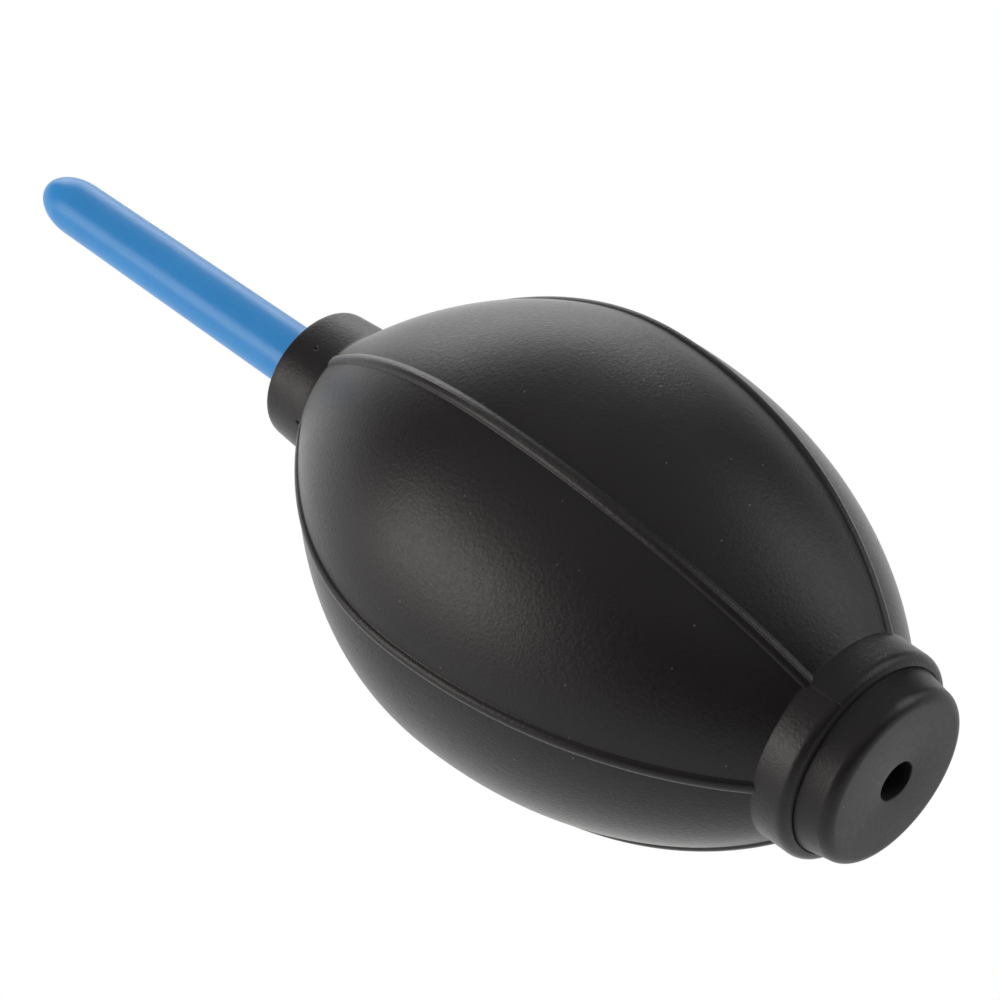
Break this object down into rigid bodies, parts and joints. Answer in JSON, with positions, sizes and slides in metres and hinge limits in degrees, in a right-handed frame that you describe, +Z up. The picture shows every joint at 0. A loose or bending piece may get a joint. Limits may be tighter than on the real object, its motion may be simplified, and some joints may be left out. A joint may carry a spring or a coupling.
{
  "type": "dust blower bulb",
  "caption": "Hand air blower: ribbed rubber squeeze bulb with a collar and inlet plug at one end and a slim tapered blowing nozzle in a neck at the other.",
  "frame": {"origin": "centre of the bottom of the bounding box: the blower lies on its side and the origin is on the surface under it", "axes": "+X along the blower's long axis towards the inlet plug, so the nozzle points to -X; +Z up; the parting line of the bulb is 23.7 degrees from +Z towards -Y"},
  "size_m": [0.1372, 0.0524, 0.0519],
  "materials": {
    "bulb_rubber": "satin, fine leathery grain",
    "plug_rubber": "smooth satin",
    "valve_plastic": "matt",
    "valve_silicone": "soft matt",
    "nozzle_plastic": "semi-gloss"
  },
  "bodies": {
    "bulb": {"squeeze_bulb": "bulb_rubber", "inlet_plug": "plug_rubber", "valve_seat": "valve_plastic", "valve_cage": "valve_plastic"},
    "press_front": {"press_zone_front": "bulb_rubber"},
    "press_back": {"press_zone_back": "bulb_rubber"},
    "valve": {"valve_disc": "valve_silicone"},
    "nozzle": {"nozzle": "nozzle_plastic"}
  },
  "joints": [
    {"name": "squeeze_front", "type": "slide", "parent": "bulb", "child": "press_front", "axis": [0, 0.9157, 0.4019], "range_m": [0, 0.008], "stiffness_N_per_m": 1200},
    {"name": "squeeze_back", "type": "slide", "parent": "bulb", "child": "press_back", "axis": [0, -0.9157, -0.4019], "range_m": [0, 0.008], "stiffness_N_per_m": 1200},
    {"name": "valve_lift", "type": "slide", "parent": "bulb", "child": "valve", "axis": [-1, 0, 0], "range_m": [0, 0.0015], "stiffness_N_per_m": 20},
    {"name": "nozzle_pull", "type": "slide", "parent": "bulb", "child": "nozzle", "axis": [-1, 0, 0], "range_m": [0, 0.0115]}
  ],
  "couplings": [
    {"joint": "squeeze_back", "follows": "squeeze_front", "ratio": 1}
  ]
}
